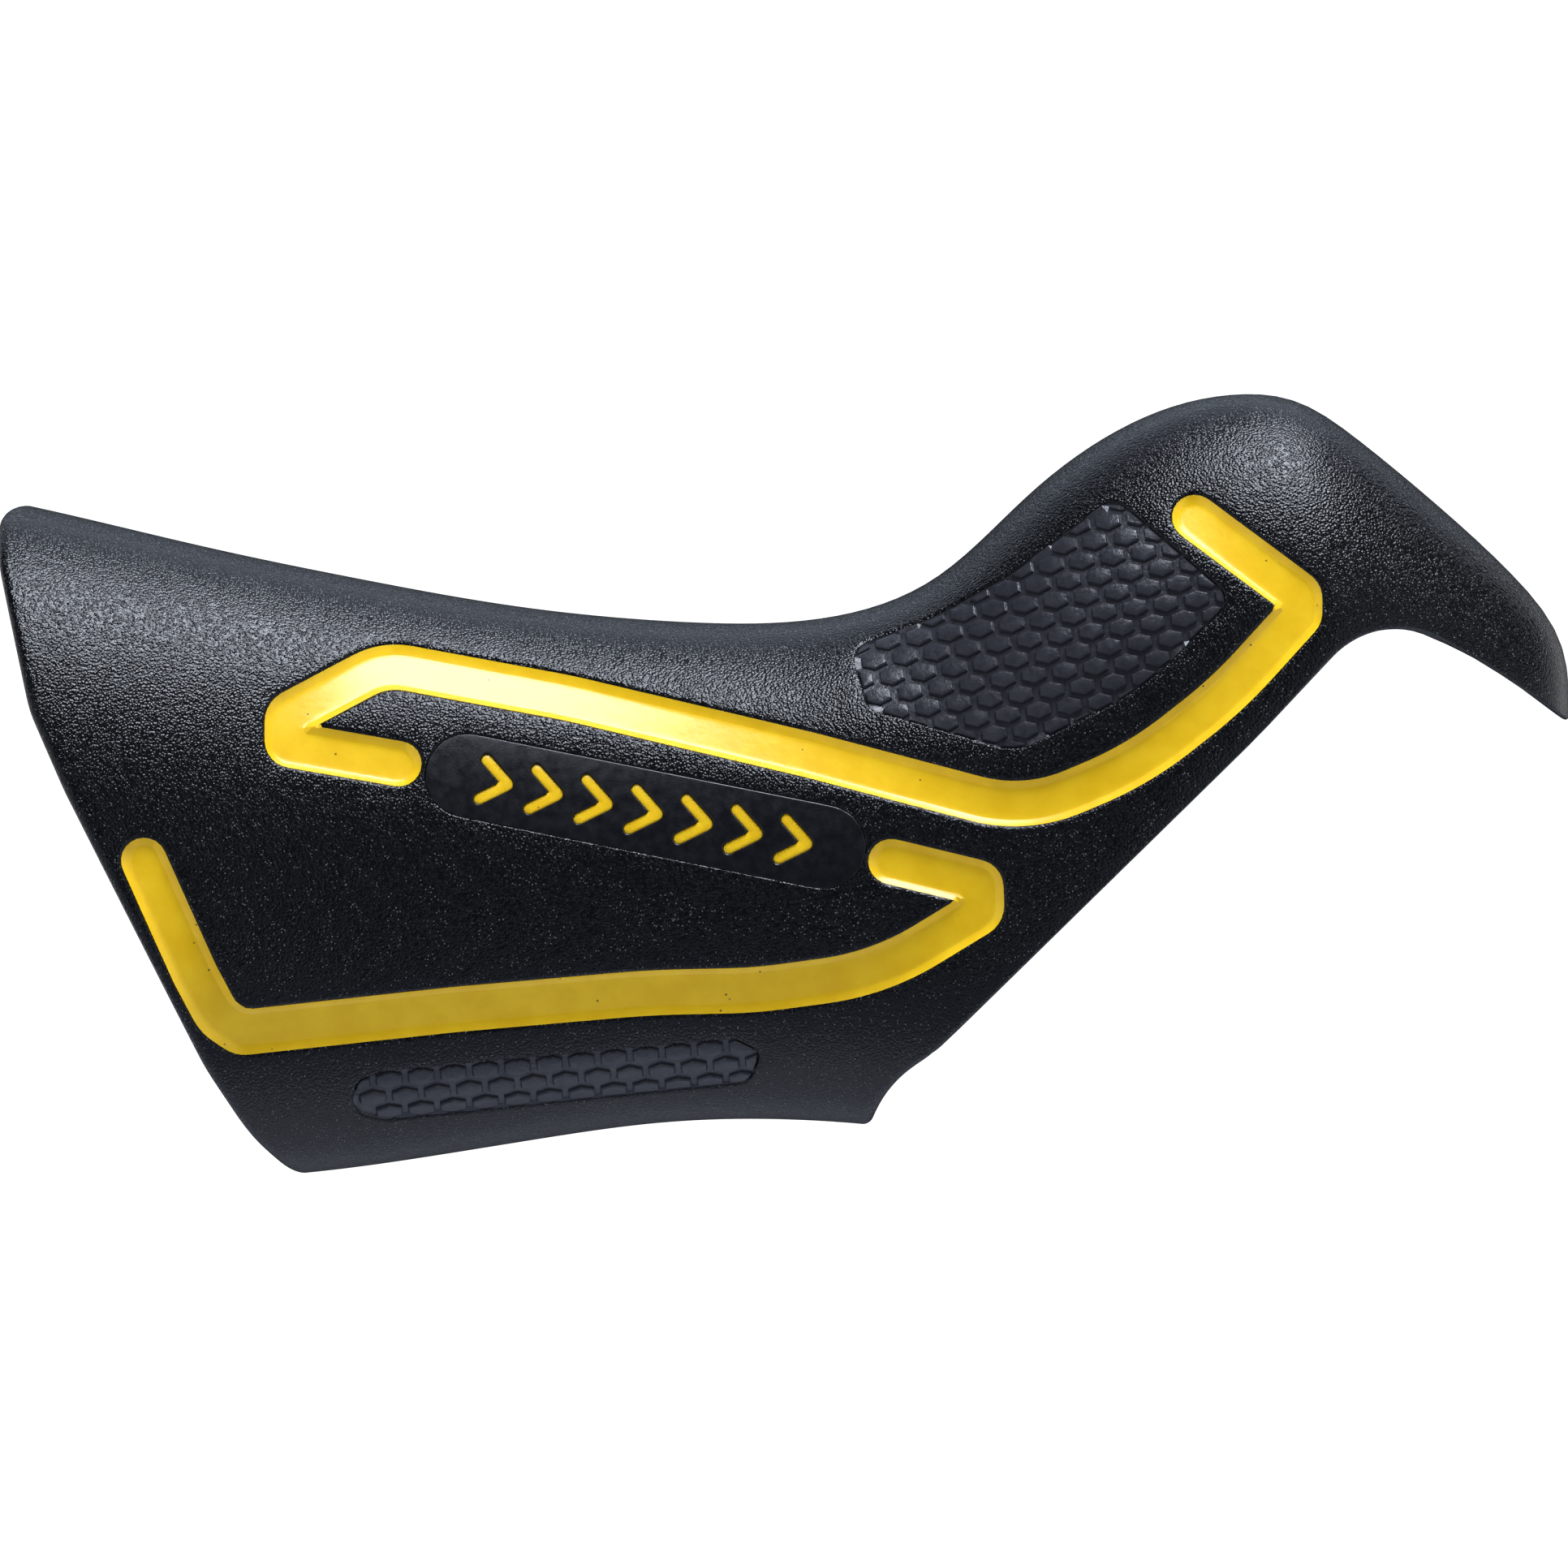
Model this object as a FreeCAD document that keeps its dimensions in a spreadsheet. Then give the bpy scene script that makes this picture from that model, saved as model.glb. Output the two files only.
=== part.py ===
"""Rubber hood cover for a drop-bar brake and shift lever, as a parametric FreeCAD document.

The hood is a thin silicone sleeve that is pulled over the lever bracket. Its frame: the origin is the
centre of the rear opening, where the bracket meets the handlebar, +X points forward to the horn, +Z up,
and -Y is the outboard side of the lever. Inlays sit in pockets of even depth in both flanks.
"""
import FreeCAD, Part
import math
import os

import Sketcher
from FreeCAD import Placement, Rotation, Vector

PARTS_FOLDER = "parts"

# Driving dimensions in millimetres: alias, value, meaning.
SIZES = [
    ("wall", 2.2, "thickness of the sleeve"),
    ("pocket_depth", 1.2, "depth of every inlay pocket below the outer skin"),
    ("stripe_width", 3.8, "width of the coloured stripes"),
    ("stripe_sink", 0.6, "how far the stripe's face lies below the skin"),
    ("plaque_width", 7.0, "width of the round-ended plaque"),
    ("plaque_sink", 0.1, "how far the plaque lies below the skin"),
    ("mark_stroke", 1.0, "stroke width of one chevron"),
    ("mark_height", 4.3, "height of one chevron"),
    ("mark_pitch", 4.2, "distance between chevrons"),
    ("mark_count", 7, "number of chevrons"),
    ("stud_gap_depth", 0.55, "depth of the gaps between grip studs"),
    ("stud_wide", 1.95, "grip stud across its upright flats"),
    ("stud_tall", 1.55, "grip stud across its points"),
    ("stud_pitch", 2.58, "distance between studs in a row"),
    ("stud_row", 1.48, "distance between rows of studs"),
    ("peg_radius", 2.0, "locating peg inside each flank"),
    ("peg_length", 2.0, "free length of a locating peg"),
    ("peg_seat_radius", 4.0, "flat seat round the foot of a peg"),
    ("peg_seat_half_gap", 14.2, "distance of that seat from the symmetry plane"),
    ("peg_root_half_gap", 16.8, "where the seat ends inside the wall"),
    ("rib_width", 1.4, "width of the palm ribs inside the top"),
    ("rib_height", 0.8, "height of the palm ribs"),
    ("rib_pitch", 5.0, "distance between palm ribs"),
    ("rib_start", 4.0, "where the ribs begin along X"),
    ("rib_end", 62.0, "where the ribs end along X"),
    ("reach", 40.0, "how far side tools reach from the symmetry plane"),
]

# The skin's stations, each a flat section through its top and bottom point:
# top x, top z, bottom x, bottom z, half width, and the share of its height where it is widest.
STATIONS = [
    (-21.6, 29.9, 4.2, -28.4, 22.1, 0.60),
    (-8.6, 27.3, 14.3, -27.5, 20.6, 0.60),
    (4.2, 24.3, 22.4, -26.4, 19.2, 0.60),
    (17.7, 21.5, 31.8, -24.9, 18.2, 0.60),
    (31.1, 19.2, 41.2, -23.6, 17.6, 0.60),
    (44.6, 18.0, 50.6, -23.2, 17.4, 0.60),
    (56.0, 18.4, 60.7, -23.8, 17.5, 0.60),
    (64.8, 21.6, 70.1, -24.6, 17.8, 0.59),
    (72.8, 28.7, 79.6, -22.6, 17.8, 0.58),
    (81.6, 34.7, 88.3, -16.6, 17.2, 0.60),
    (90.3, 36.9, 95.0, -7.8, 16.2, 0.64),
    (95.8, 35.9, 98.8, -3.0, 15.5, 0.66),
    (100.4, 32.8, 101.6, -0.9, 14.7, 0.69),
    (106.9, 27.4, 104.6, -0.2, 13.3, 0.72),
    (112.6, 22.1, 107.0, -1.0, 11.8, 0.72),
    (116.6, 16.7, 109.4, -2.5, 10.7, 0.72),
    (117.3, 8.0, 111.0, -6.5, 9.8, 0.72),
]
UPPER_ROUNDNESS = 2.15  # superellipse exponent above the widest line
LOWER_ROUNDNESS = 2.25  # and below it
POINTS_PER_SIDE = 12

# Side outlines as corners (x, z, corner radius), read on the symmetry plane.
REAR_EDGE = [(-7.5, 36, 0), (-7.5, 27.35, 0), (-12.6, 28.1, 1.7), (-12.6, 23.0, 8), (-9.9, 10.6, 8),
             (-7.0, 4.0, 8), (4.6, -18.9, 14), (8.6, -25.0, 14), (12.6, -28.4, 0), (16.5, -36, 0),
             (-40, -36, 0), (-40, 36, 0)]
FRONT_EDGE = [(59.4, -36, 0), (59.4, -24.0, 0), (60.5, -20.2, 9.3), (64.7, -17.7, 3), (66.3, -16.2, 0),
              (91.5, 8.45, 0), (99.9, 17.4, 7.5), (105.3, 17.5, 7.0), (111.5, 14.0, 15), (117.4, 9.6, 0),
              (130, -0.1, 0), (130, -36, 0)]
UPPER_STRIPE = [(20.6, 6.3, 0), (11.4, 7.9, 0.4), (11.4, 10.3, 0.8), (19.4, 14.6, 5.5), (34.5, 11.8, 60),
                (54.7, 7.0, 60), (72.3, 2.3, 12.5), (81.6, 6.2, 30), (89.0, 12.0, 40), (95.0, 18.6, 0.4),
                (95.0, 20.2, 0.4), (86.3, 26.7, 0)]
LOWER_STRIPE = [(-0.4, -1.7, 0), (3.8, -11.1, 8), (5.7, -14.7, 3), (7.6, -16.0, 1), (25.1, -14.1, 90),
                (41.2, -12.7, 90), (50.0, -12.5, 40), (60.2, -11.1, 22), (68.7, -5.9, 0.8),
                (68.6, -3.6, 0.4), (61.2, -1.8, 0)]
PLAQUE_LINE = [(26.2, 5.3), (55.7, -0.6)]
THUMB_PAD = [(57.8, 15.9, 1.6), (59.3, 10.8, 1.4), (71.6, 7.2, 4.5), (81.9, 12.4, 20), (89.6, 19.9, 1.5),
             (79.6, 28.5, 2.0), (70.6, 21.7, 8), (65.0, 18.6, 20)]
FINGER_PAD = [(17.0, -20.0, 1.3), (19.3, -19.2, 0.6), (48.3, -16.5, 0.6), (50.6, -17.6, 1.0),
              (49.6, -20.2, 1.3), (19.4, -23.3, 1.3), (16.6, -22.6, 1.3)]

THUMB_ROW_SLOPE = math.radians(7.5)
FINGER_ROW_SLOPE = math.radians(5.4)
FINGER_ROWS = [(1.45, -20.46), (1.27, -21.89), (1.05, -23.12)]  # stud height and z at the pad's left end
PEG_SPOTS = {"rear": (14.0, -2.0), "front": (50.0, -4.0)}


def sheet_of_sizes(doc):
    """The spreadsheet that drives the model."""
    sheet = doc.addObject("Spreadsheet::Sheet", "Sizes")
    for row, (alias, value, meaning) in enumerate(SIZES, start=1):
        sheet.set(f"A{row}", meaning)
        sheet.set(f"B{row}", str(value))
        sheet.setAlias(f"B{row}", alias)
    doc.recompute()
    return sheet


def section_points(station):
    """Points once round a station, from the top down the outboard side and back up inboard."""
    top_x, top_z, bottom_x, bottom_z, half_width, widest = station
    points = []
    for i in range(2 * POINTS_PER_SIDE):
        angle = math.pi * i / POINTS_PER_SIDE
        down, side = -math.cos(angle), -math.sin(angle)
        power = 2 / (UPPER_ROUNDNESS if down < 0 else LOWER_ROUNDNESS)
        reach = widest if down < 0 else 1 - widest
        share = widest + reach * math.copysign(abs(down) ** power, down)
        y = half_width * math.copysign(abs(side) ** power, side)
        points.append(Vector(top_x + share * (bottom_x - top_x), y, top_z + share * (bottom_z - top_z)))
    return points


def inset_sections(inset, stations):
    """The stations' points moved inward by inset, square to the skin.

    End stations stay flat and also move out along the sleeve, so that a deeper skin always passes
    through the ends of the one outside it.
    """
    rings = [section_points(station) for station in stations]
    count = 2 * POINTS_PER_SIDE
    moved = []
    for s, ring in enumerate(rings):
        before, after = rings[max(s - 1, 0)], rings[min(s + 1, len(rings) - 1)]
        at_end = s in (0, len(rings) - 1)
        plane = (ring[0] - ring[POINTS_PER_SIDE]).cross(Vector(0, 1, 0)).normalize()
        steps = [ring[i] - before[i] + ring[i] - after[i] for i in range(count)]
        outward = sum(steps, Vector()).normalize() if at_end else Vector()
        new_ring = []
        for i, point in enumerate(ring):
            around = ring[(i + 1) % count] - ring[i - 1]
            inward = (after[i] - before[i]).cross(around).normalize()
            if at_end:
                inward -= plane * inward.dot(plane)
                inward /= max(inward.Length, 0.8)
            new_ring.append(point + (inward + outward) * inset)
        moved.append(new_ring)
    return moved


def skin(doc, name, inset, stations=STATIONS):
    """A closed solid bounded by the skin at a given depth below the outside."""
    rings = inset_sections(inset, stations)
    count = 2 * POINTS_PER_SIDE
    around = [Part.BSplineCurve() for _ in rings]
    for curve, ring in zip(around, rings):
        curve.interpolate(Points=ring, PeriodicFlag=True, Parameters=list(range(count + 1)))
    # Skin the rings' poles along the sleeve with one shared set of chord-length parameters.
    places = [0.0]
    for ring, after in zip(rings, rings[1:]):
        places.append(places[-1] + sum((after[i] - ring[i]).Length for i in range(count)) / count)
    columns = []
    for column in zip(*[curve.getPoles() for curve in around]):
        along = Part.BSplineCurve()
        along.interpolate(Points=list(column), Parameters=places)
        columns.append(along)
    surface = Part.BSplineSurface()
    surface.buildFromPolesMultsKnots([column.getPoles() for column in columns],
                                     around[0].getMultiplicities(), columns[0].getMultiplicities(),
                                     around[0].getKnots(), columns[0].getKnots(), True, False, 3, 3)
    side = Part.Face(surface)
    ends = [Part.Face(Part.Wire([edge])) for edge in side.Edges if edge.isClosed()]
    shell = Part.makeShell([side] + ends)
    shell.sewShape()
    feature = doc.addObject("Part::Feature", name)
    feature.Shape = Part.Solid(shell)
    return feature


def rounded_outline(corners, closed):
    """Straight lines and tangent arcs through corners of (x, z, radius), in sketch coordinates.

    Each piece comes with the sketch's numbers for its start and its end: a sketch counts an arc's ends
    counter-clockwise, so they swap where the outline turns clockwise.
    """
    count = len(corners)
    bends = []
    for i, (x, z, radius) in enumerate(corners):
        here = Vector(x, z, 0)
        if radius == 0 or (not closed and i in (0, count - 1)):
            bends.append((here, None, here))
            continue
        back = (Vector(*corners[i - 1][:2], 0) - here).normalize()
        ahead = (Vector(*corners[(i + 1) % count][:2], 0) - here).normalize()
        half_angle = back.getAngle(ahead) / 2
        tangent = radius / math.tan(half_angle)
        middle = (back + ahead).normalize() * (radius / math.sin(half_angle) - radius)
        bends.append((here + back * tangent, here + middle, here + ahead * tangent))
    pieces = []
    for i, (start, middle, stop) in enumerate(bends):
        if middle is not None:
            clockwise = (middle - start).cross(stop - middle).z < 0
            arc = Part.Arc(start, middle, stop)
            pieces.append((arc, 2, 1) if clockwise else (arc, 1, 2))
        if closed or i < count - 1:
            pieces.append((Part.LineSegment(stop, bends[(i + 1) % count][0]), 1, 2))
    return pieces


def side_sketch(doc, name, corners, closed):
    """A sketch on the symmetry plane, facing outboard."""
    sketch = doc.addObject("Sketcher::SketchObject", name)
    sketch.Placement = Placement(Vector(), Rotation(Vector(1, 0, 0), 90))
    pieces = rounded_outline(corners, closed)
    sketch.addGeometry([piece for piece, _, _ in pieces], False)
    joins = range(len(pieces)) if closed else range(len(pieces) - 1)
    for i in joins:
        after = (i + 1) % len(pieces)
        sketch.addConstraint(Sketcher.Constraint("Coincident", i, pieces[i][2], after, pieces[after][1]))
    return sketch


def extruded(doc, name, base, both_sides=False):
    """A side tool: base carried outboard from the symmetry plane, or both ways."""
    tool = doc.addObject("Part::Extrusion", name)
    tool.Base = base
    tool.DirMode = "Custom"
    tool.Dir = Vector(0, -1, 0)
    tool.Solid = True
    tool.setExpression("LengthFwd", "Sizes.reach")
    if both_sides:
        tool.setExpression("LengthRev", "Sizes.reach")
    return tool


def stroke(doc, name, corners, width_alias):
    """A side tool in the shape of a round-ended stroke of a given width along a path."""
    outline = doc.addObject("Part::Offset2D", f"{name}_outline")
    outline.Source = side_sketch(doc, f"{name}_path", corners, closed=False)
    outline.Mode = "Pipe"
    outline.Join = "Arc"
    outline.Fill = True
    outline.setExpression("Value", f"Sizes.{width_alias} / 2")
    return extruded(doc, f"{name}_tool", outline)


def cut(doc, name, base, tool):
    feature = doc.addObject("Part::Cut", name)
    feature.Base, feature.Tool = base, tool
    return feature


def common(doc, name, base, tool):
    feature = doc.addObject("Part::Common", name)
    feature.Base, feature.Tool = base, tool
    return feature


def fused(doc, name, shapes):
    feature = doc.addObject("Part::MultiFuse", name)
    feature.Shapes = shapes
    return feature


def mirrored(doc, name, source):
    """The same piece on the inboard side."""
    feature = doc.addObject("Part::Mirroring", name)
    feature.Source = source
    feature.Normal = Vector(0, 1, 0)
    return feature


def slot_corners(line, width):
    """The corners of a round-ended slot along a line."""
    (x0, z0), (x1, z1) = line
    along = Vector(x1 - x0, z1 - z0, 0).normalize() * width / 2
    up = Vector(-along.y, along.x, 0)
    start, stop = Vector(x0, z0, 0) - along, Vector(x1, z1, 0) + along
    return [(p.x, p.y, 0.98 * width / 2) for p in (start - up, stop - up, stop + up, start + up)]


def chevron_marks(doc, size):
    """A row of identical chevrons along the plaque, fused into one side tool."""
    (x0, z0), (x1, z1) = PLAQUE_LINE
    along = Vector(x1 - x0, z1 - z0, 0).normalize()
    across = Vector(-along.y, along.x, 0)
    middle = Vector((x0 + x1) / 2, (z0 + z1) / 2, 0)
    tools = []
    for i in range(int(size.mark_count)):
        centre = middle + along * (i - (size.mark_count - 1) / 2) * size.mark_pitch
        arm = across * (size.mark_height - size.mark_stroke) / 2
        tip = along * size.mark_height / 4
        path = [centre - tip + arm, centre + tip, centre - tip - arm]
        tools.append(stroke(doc, f"mark_{i + 1}", [(p.x, p.y, 0) for p in path], "mark_stroke"))
    return fused(doc, "marks_tool", tools)


def stud_face(x, z, wide, tall, slope):
    """One grip stud seen from the side: a hexagon with upright flats."""
    corners = [(wide / 2, tall / 4), (0, tall / 2), (-wide / 2, tall / 4)]
    corners += [(-a, -b) for a, b in corners]
    turned = [Vector(x + a * math.cos(slope) - b * math.sin(slope), 0,
                     z + a * math.sin(slope) + b * math.cos(slope)) for a, b in corners]
    return Part.Face(Part.makePolygon(turned + turned[:1]))


def thumb_studs(size):
    """Grip studs in sloping rows that cover the thumb pad."""
    slope = THUMB_ROW_SLOPE
    along, up = (math.cos(slope), math.sin(slope)), (-math.sin(slope), math.cos(slope))
    x0, z0 = 72.6, 16.6
    faces = []
    for row in range(-9, 10):
        for column in range(-9, 10):
            step = (column + 0.5 * (row % 2)) * size.stud_pitch
            x = x0 + step * along[0] + row * size.stud_row * up[0]
            z = z0 + step * along[1] + row * size.stud_row * up[1]
            faces.append(stud_face(x, z, size.stud_wide, size.stud_tall, slope))
    return faces


def finger_studs(size):
    """Three rows of grip studs along the finger pad, lower rows flatter as the flank turns under."""
    slope = FINGER_ROW_SLOPE
    faces = []
    for row, (tall, z0) in enumerate(FINGER_ROWS):
        for column in range(15):
            step = (column + 0.5 * (row % 2)) * (size.stud_pitch + 0.08)
            x = 14.5 + step * math.cos(slope)
            faces.append(stud_face(x, z0 + step * math.sin(slope), 2.08, tall, slope))
    return faces


def grip_pad(doc, name, corners, studs, skins):
    """A pad of hexagonal studs on a common sheet, and the tool that cuts its pocket."""
    sketch = side_sketch(doc, f"{name}_sketch", corners, closed=True)
    pocket = cut(doc, f"{name}_pocket", extruded(doc, f"{name}_tool", sketch), skins["floor"])
    block = common(doc, f"{name}_block", pocket, skins["outer"])
    doc.recompute()
    outline = Part.Face(sketch.Shape.Wires[0])
    touching = [face for face in studs if face.distToShape(outline)[0] < 1e-6]
    kept = Part.makeCompound(touching).common(outline)
    around = outline.BoundBox
    around.enlarge(1)
    corner = Vector(around.XMin, 0, around.ZMax)
    backdrop = Part.makePlane(around.ZLength, around.XLength, corner, Vector(0, -1, 0))
    gaps = doc.addObject("Part::Feature", f"{name}_gaps")
    gaps.Shape = backdrop.cut(kept)
    trench = cut(doc, f"{name}_trench", extruded(doc, f"{name}_gap_tool", gaps), skins["trench"])
    return cut(doc, name, block, trench), pocket


def locating_peg(doc, name, spot):
    """A round peg on a flat seat, standing inward from the outboard wall."""
    parts = []
    for part, radius, tip in (("peg", "peg_radius", "peg_seat_half_gap - Sizes.peg_length"),
                              ("seat", "peg_seat_radius", "peg_seat_half_gap")):
        cylinder = doc.addObject("Part::Cylinder", f"{name}_{part}")
        cylinder.Placement = Placement(Vector(spot[0], 0, spot[1]), Rotation(Vector(1, 0, 0), 90))
        cylinder.setExpression("Radius", f"Sizes.{radius}")
        cylinder.setExpression("Height", f"Sizes.peg_root_half_gap - (Sizes.{tip})")
        cylinder.setExpression("Placement.Base.y", f"-(Sizes.{tip})")
        parts.append(cylinder)
    return parts


def palm_ribs(doc, size, skins):
    """Three cushioning ribs inside the top, rooted in the wall."""
    bars = []
    for i in (-1, 0, 1):
        bar = doc.addObject("Part::Box", f"rib_{i + 2}")
        corner = Vector(size.rib_start, i * size.rib_pitch - size.rib_width / 2, 2)
        bar.Placement = Placement(corner, Rotation())
        bar.setExpression("Length", "Sizes.rib_end - Sizes.rib_start")
        bar.setExpression("Width", "Sizes.rib_width")
        bar.setExpression("Height", "Sizes.reach")
        bars.append(bar)
    rooted = common(doc, "rooted_bars", fused(doc, "rib_bars", bars), skins["floor"])
    return cut(doc, "palm_ribs", rooted, skins["ribs"])


def build():
    doc = FreeCAD.newDocument("hood_cover")
    size = sheet_of_sizes(doc)
    depths = {
        "outer": 0.0,
        "plaque": size.plaque_sink,
        "trench": size.stud_gap_depth,
        "stripe": size.stripe_sink,
        "floor": size.pocket_depth,
        "cavity": size.wall,
    }
    skins = {name: skin(doc, f"skin_{name}", depth) for name, depth in depths.items()}
    skins["ribs"] = skin(doc, "skin_ribs", size.wall + size.rib_height, STATIONS[:10])

    # Outboard inlays, each with the tool that cuts its pocket.
    inlays, pockets = {}, []
    for name, path in (("upper_stripe", UPPER_STRIPE), ("lower_stripe", LOWER_STRIPE)):
        pocket = cut(doc, f"{name}_pocket", stroke(doc, name, path, "stripe_width"), skins["floor"])
        inlays[name] = common(doc, f"outboard_{name}", pocket, skins["stripe"])
        pockets.append(pocket)
    slot = slot_corners(PLAQUE_LINE, size.plaque_width)
    plaque_sketch = side_sketch(doc, "plaque_sketch", slot, closed=True)
    plaque_pocket = cut(doc, "plaque_pocket", extruded(doc, "plaque_tool", plaque_sketch), skins["floor"])
    pockets.append(plaque_pocket)
    mark_pocket = cut(doc, "mark_pocket", chevron_marks(doc, size), skins["floor"])
    plaque_blank = common(doc, "plaque_blank", plaque_pocket, skins["plaque"])
    inlays["plaque"] = cut(doc, "outboard_plaque", plaque_blank, mark_pocket)
    inlays["plaque_marks"] = common(doc, "outboard_plaque_marks", mark_pocket, skins["stripe"])
    for name, corners, studs in (("thumb_pad", THUMB_PAD, thumb_studs(size)),
                                 ("finger_pad", FINGER_PAD, finger_studs(size))):
        inlays[name], pocket = grip_pad(doc, f"outboard_{name}", corners, studs, skins)
        pockets.append(pocket)

    # The sleeve: an open tube with ribs and pegs inside and pockets in both flanks.
    tube = cut(doc, "tube", skins["outer"], skins["cavity"])
    pegs = []
    for place, spot in PEG_SPOTS.items():
        for part in locating_peg(doc, f"{place}_peg", spot):
            pegs += [part, mirrored(doc, f"inboard_{part.Name}", part)]
    lined = fused(doc, "lined_tube", [tube, palm_ribs(doc, size, skins)] + pegs)
    rear_edge = side_sketch(doc, "rear_edge", REAR_EDGE, closed=True)
    front_edge = side_sketch(doc, "front_edge", FRONT_EDGE, closed=True)
    rear_tool = extruded(doc, "rear_tool", rear_edge, both_sides=True)
    front_tool = extruded(doc, "front_tool", front_edge, both_sides=True)
    opened = cut(doc, "front_opened", cut(doc, "rear_opened", lined, rear_tool), front_tool)
    outboard_pockets = fused(doc, "outboard_pockets", pockets)
    inboard_pockets = mirrored(doc, "inboard_pockets", outboard_pockets)
    one_side = cut(doc, "one_side_pocketed", opened, outboard_pockets)
    sleeve = cut(doc, "hood_sleeve", one_side, inboard_pockets)

    nodes = [sleeve]
    for name, inlay in inlays.items():
        nodes += [inlay, mirrored(doc, f"inboard_{name}", inlay)]
    doc.recompute()
    return doc, nodes


def check_and_export(doc, nodes):
    """Stops on any failed object or bad solid, then writes one STEP file per node."""
    failed = [o.Name for o in doc.Objects if {"Invalid", "Error"} & set(o.State)]
    if failed:
        raise RuntimeError(f"objects failed to compute: {failed}")
    os.makedirs(PARTS_FOLDER, exist_ok=True)
    for node in nodes:
        shape = node.Shape
        if shape.isNull() or not shape.isValid() or not shape.Solids:
            raise RuntimeError(f"{node.Label} has no valid solid")
        shape.exportStep(os.path.join(PARTS_FOLDER, f"{node.Label}.step"))
        volume = round(shape.Volume, 1)
        print(node.Label, len(shape.Solids), "solids", len(shape.Faces), "faces", volume, "mm3")


check_and_export(*build())
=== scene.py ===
"""Looks of the rubber hood cover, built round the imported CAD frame.

The frame's axes: X forward along the grip to the horn, Z up, -Y the outboard side. Shapes are worked out
in design millimetres and scaled by the length of the CAD sleeve. The outer skin has two coordinates:
place, the distance along the sleeve, and angle, from 0 at the top over the outboard flank to pi underneath.
"""
import math

import bpy
import bmesh
import numpy as np
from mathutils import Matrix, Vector
from mathutils.geometry import delaunay_2d_cdt


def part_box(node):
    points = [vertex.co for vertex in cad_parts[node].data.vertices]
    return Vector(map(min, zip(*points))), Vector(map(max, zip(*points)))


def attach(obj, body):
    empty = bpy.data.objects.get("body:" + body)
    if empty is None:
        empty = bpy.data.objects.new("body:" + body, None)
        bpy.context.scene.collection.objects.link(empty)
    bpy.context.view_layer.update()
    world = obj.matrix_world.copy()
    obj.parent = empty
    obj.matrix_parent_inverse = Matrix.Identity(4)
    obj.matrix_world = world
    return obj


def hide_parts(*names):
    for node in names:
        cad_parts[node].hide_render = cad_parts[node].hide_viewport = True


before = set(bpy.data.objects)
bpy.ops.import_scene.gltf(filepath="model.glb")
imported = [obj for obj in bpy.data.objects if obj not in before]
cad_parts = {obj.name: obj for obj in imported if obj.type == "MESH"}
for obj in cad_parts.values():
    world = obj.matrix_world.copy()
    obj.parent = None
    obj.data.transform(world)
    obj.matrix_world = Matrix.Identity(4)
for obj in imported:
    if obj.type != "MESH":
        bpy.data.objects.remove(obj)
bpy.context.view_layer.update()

# The sleeve's stations from rear to front, each a section between a top and a bottom point:
# top x, top z, bottom x, bottom z, half width, share of the height where it is widest.
STATIONS = np.array([
    (-21.6, 29.9, 4.2, -28.4, 22.1, 0.60),
    (-8.6, 27.3, 14.3, -27.5, 20.6, 0.60),
    (4.2, 24.3, 22.4, -26.4, 19.2, 0.60),
    (17.7, 21.5, 31.8, -24.9, 18.2, 0.60),
    (31.1, 19.2, 41.2, -23.6, 17.6, 0.60),
    (44.6, 18.0, 50.6, -23.2, 17.4, 0.60),
    (56.0, 18.4, 60.7, -23.8, 17.5, 0.60),
    (64.8, 21.6, 70.1, -24.6, 17.8, 0.59),
    (72.8, 28.7, 79.6, -22.6, 17.8, 0.58),
    (81.6, 34.7, 88.3, -16.6, 17.2, 0.60),
    (90.3, 36.9, 95.0, -7.8, 16.2, 0.64),
    (95.8, 35.9, 98.8, -3.0, 15.5, 0.66),
    (100.4, 32.8, 101.6, -0.9, 14.7, 0.69),
    (106.9, 27.4, 104.6, -0.2, 13.3, 0.72),
    (112.6, 22.1, 107.0, -1.0, 11.8, 0.72),
    (116.6, 16.7, 109.4, -2.5, 10.7, 0.72),
    (117.3, 8.0, 111.0, -6.5, 9.8, 0.72),
])
# Powers of the superellipses above and below the widest point. 2 is a plain ellipse.
UPPER_ROUNDNESS = 2.15
LOWER_ROUNDNESS = 2.25

# Outlines in the side view: x, z and corner radius. The edges trim the sleeve's two ends.
REAR_EDGE = [(-7.5, 36, 0), (-7.5, 27.35, 0), (-12.6, 28.1, 1.7), (-12.6, 23.0, 8), (-9.9, 10.6, 8),
             (-7.0, 4.0, 8), (4.6, -18.9, 14), (8.6, -25.0, 14), (12.6, -28.4, 0), (16.5, -36, 0)]
REAR_OUTSIDE = [(-40, -36, 0), (-40, 36, 0)]
FRONT_EDGE = [(59.4, -36, 0), (59.4, -24.0, 0), (60.5, -20.2, 9.3), (64.7, -17.7, 3), (66.3, -16.2, 0),
              (91.5, 8.45, 0), (99.9, 17.4, 7.5), (105.3, 17.5, 7.0), (111.5, 14.0, 15), (117.4, 9.6, 0),
              (130, -0.1, 0)]
FRONT_OUTSIDE = [(130, -36, 0)]
UPPER_STRIPE = [(20.6, 6.3, 0), (11.4, 7.9, 0.4), (11.4, 10.3, 0.8), (19.4, 14.6, 5.5), (34.5, 11.8, 60),
                (54.7, 7.0, 60), (72.3, 2.3, 12.5), (81.6, 6.2, 30), (89.0, 12.0, 40), (95.0, 18.6, 0.4),
                (95.0, 20.2, 0.4), (86.3, 26.7, 0)]
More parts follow.
